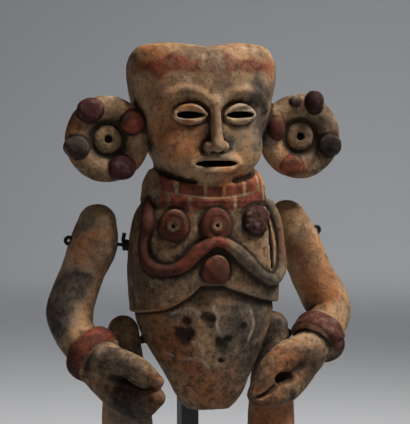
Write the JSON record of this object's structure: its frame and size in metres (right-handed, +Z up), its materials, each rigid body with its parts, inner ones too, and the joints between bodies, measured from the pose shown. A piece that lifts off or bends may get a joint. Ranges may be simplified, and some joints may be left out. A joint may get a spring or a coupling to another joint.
{
  "type": "anthropomorphic statuette",
  "caption": "Jointed fired-clay figure with a broad flat head, round ear flares, collar and chest pellets, hung limbs and gripping hands, held upright by a black rod on a foot plate.",
  "frame": {"origin": "centre of the foot plate's underside", "axes": "+Z up along the figure, -Y the way the figure faces, +X towards the figure's own left side"},
  "size_m": [0.1733, 0.104, 0.2882],
  "materials": {
    "fired_clay": "matt unglazed buff clay with worn red paint and grey fire clouds",
    "iron_wire": "dark dull iron wire",
    "black_painted_steel": "satin black paint"
  },
  "bodies": {
    "root": {"torso": "fired_clay", "head": "fired_clay", "right_ear_flare": "fired_clay", "left_ear_flare": "fired_clay", "right_arm": "fired_clay", "left_arm": "fired_clay", "right_leg": "fired_clay", "left_leg": "fired_clay", "right_shoulder_wire": "iron_wire", "left_shoulder_wire": "iron_wire", "right_hip_wire": "iron_wire", "left_hip_wire": "iron_wire", "stand_rod": "black_painted_steel", "stand_foot": "black_painted_steel"}
  },
  "joints": []
}
